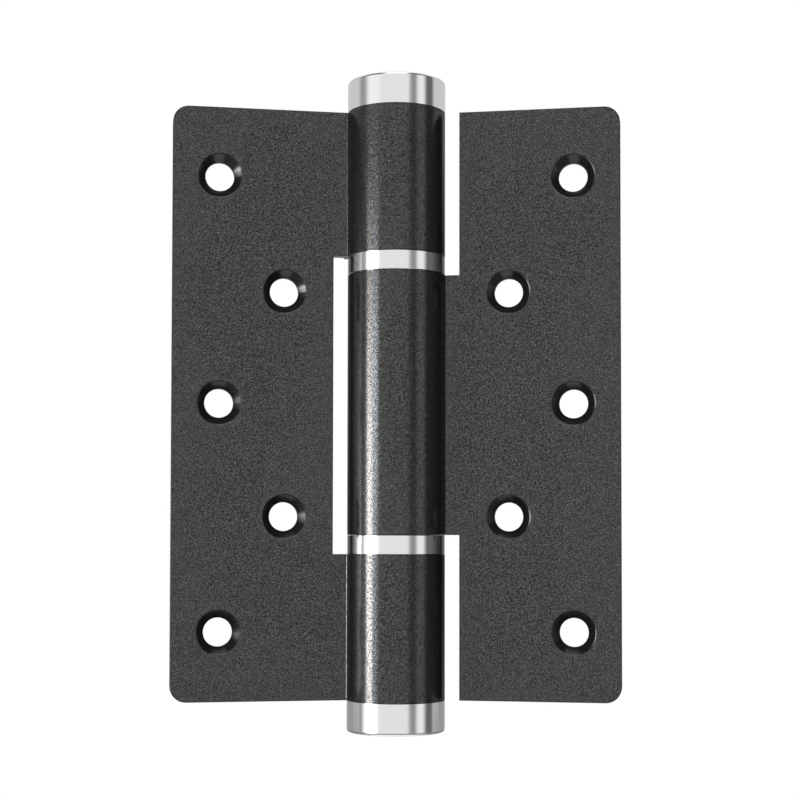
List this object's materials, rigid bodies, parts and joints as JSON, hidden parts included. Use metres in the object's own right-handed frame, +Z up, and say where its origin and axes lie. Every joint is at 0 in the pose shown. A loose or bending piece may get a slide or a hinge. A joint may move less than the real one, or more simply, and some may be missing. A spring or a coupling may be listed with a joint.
{
  "type": "closer door hinge",
  "caption": "Surface-leaf door hinge with a thick barrel that hides a closing spring, cam and damping cylinder, with polished caps and rings and countersunk screw holes.",
  "frame": {"origin": "on the pin axis, at half the height of the leaves", "axes": "+Z up the pin; -X from the pin towards the frame leaf's free edge; -Y is the side of the countersinks"},
  "size_m": [0.1118, 0.0314, 0.1658],
  "materials": {
    "powder_coat": "matte",
    "polished_chrome": "polished",
    "ground_steel": "satin",
    "spring_steel": "satin",
    "turned_brass": "satin",
    "bearing_plastic": "matte",
    "seal_rubber": "matte"
  },
  "bodies": {
    "frame": {"frame_leaf": "powder_coat", "end_caps": "polished_chrome", "lower_ring": "polished_chrome", "lower_thrust_washer": "bearing_plastic", "drive_plug": "ground_steel", "bearing_plug": "ground_steel", "pivot_bush": "turned_brass", "cam_shaft": "ground_steel"},
    "door": {"door_leaf": "powder_coat", "upper_ring": "polished_chrome", "upper_thrust_washer": "bearing_plastic", "cylinder_body": "ground_steel", "gland": "turned_brass", "shaft_seal": "seal_rubber", "guide_sleeve": "ground_steel", "closing_spring": "spring_steel"},
    "piston": {"piston": "ground_steel", "piston_seal": "seal_rubber", "follower_pins": "ground_steel"},
    "needle": {"metering_needle": "turned_brass", "needle_seal": "seal_rubber"}
  },
  "joints": [
    {"name": "leaf_swing", "type": "hinge", "parent": "frame", "child": "door", "pos_m": [0, 0, 0], "axis": [0, 0, 1], "range_deg": [-160.3, 19.7]},
    {"name": "piston_slide", "type": "slide", "parent": "door", "child": "piston", "axis": [0, 0, 1], "range_m": [-0.00098, 0.00801], "deforming": ["closing_spring"]},
    {"name": "speed_turn", "type": "hinge", "parent": "frame", "child": "needle", "pos_m": [0, 0, 0], "axis": [0, 0, 1], "range_deg": [-180, 180]}
  ],
  "couplings": [
    {"joint": "piston_slide", "follows": "leaf_swing", "m_per_rad": -0.0028647}
  ]
}
